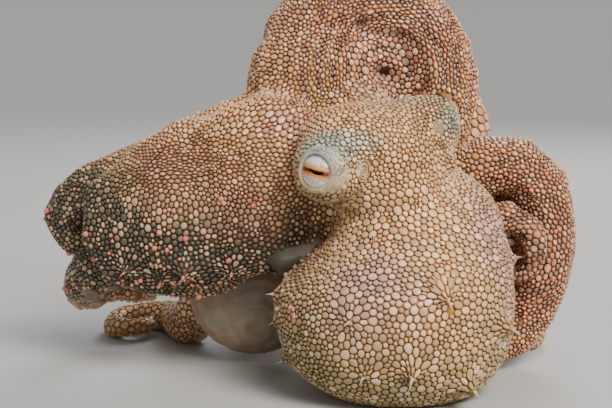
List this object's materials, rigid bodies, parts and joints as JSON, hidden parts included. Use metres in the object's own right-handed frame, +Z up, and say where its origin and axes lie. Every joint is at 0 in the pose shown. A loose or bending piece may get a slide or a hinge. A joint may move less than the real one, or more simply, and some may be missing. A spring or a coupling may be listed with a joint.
{
  "type": "octopus",
  "caption": "Life-size octopus at rest with its mantle low in front, head and eyes above it, and its arms arched over, coiled beside and curled behind it.",
  "frame": {"origin": "middle of the whole body's box, on the floor", "axes": "+X to the animal's coiled side at the right as seen from the mantle, +Y from the mantle back to the arms, +Z up"},
  "size_m": [0.2586, 0.2234, 0.1959],
  "materials": {
    "mantle_skin": "moist skin, cream polygonal cells in orange-brown and lilac grooves",
    "head_skin": "moist skin, cream cells shading to blue-grey round the eyes",
    "web_skin": "moist skin, small pale cells on brown",
    "arm_skin": "moist skin, pink and cream cells in rusty orange",
    "smooth_skin": "smooth moist grey-brown skin and pale suckers",
    "eye": "wet eye with a silvery and orange iris and a dark slit pupil"
  },
  "bodies": {
    "root": {"arm_left_1_a": "arm_skin", "arm_left_1_b": "arm_skin", "arm_left_1_c": "arm_skin", "arm_left_2_a": "arm_skin", "arm_left_2_b": "arm_skin", "arm_left_2_c": "arm_skin", "arm_left_3_a": "arm_skin", "arm_left_3_b": "arm_skin", "arm_left_3_c": "arm_skin", "arm_left_4_a": "arm_skin", "arm_left_4_b": "arm_skin", "arm_left_4_c": "arm_skin", "arm_right_1_a": "arm_skin", "arm_right_1_b": "arm_skin", "arm_right_1_c": "arm_skin", "arm_right_1_d": "arm_skin", "arm_right_2_a": "arm_skin", "arm_right_2_b": "arm_skin", "arm_right_2_c": "arm_skin", "arm_right_2_d": "arm_skin", "arm_right_3_a": "arm_skin", "arm_right_3_b": "arm_skin", "arm_right_3_c": "arm_skin", "arm_right_4_a": "arm_skin", "arm_right_4_b": "arm_skin", "arm_right_4_c": "arm_skin", "crown": "web_skin", "eye_left": "eye", "eye_right": "eye", "funnel": "smooth_skin", "head": "head_skin", "mantle": "mantle_skin", "web_back": "web_skin", "web_left": "web_skin", "web_right": "web_skin", "web_top": "web_skin", "web_under": "smooth_skin"}
  },
  "joints": []
}
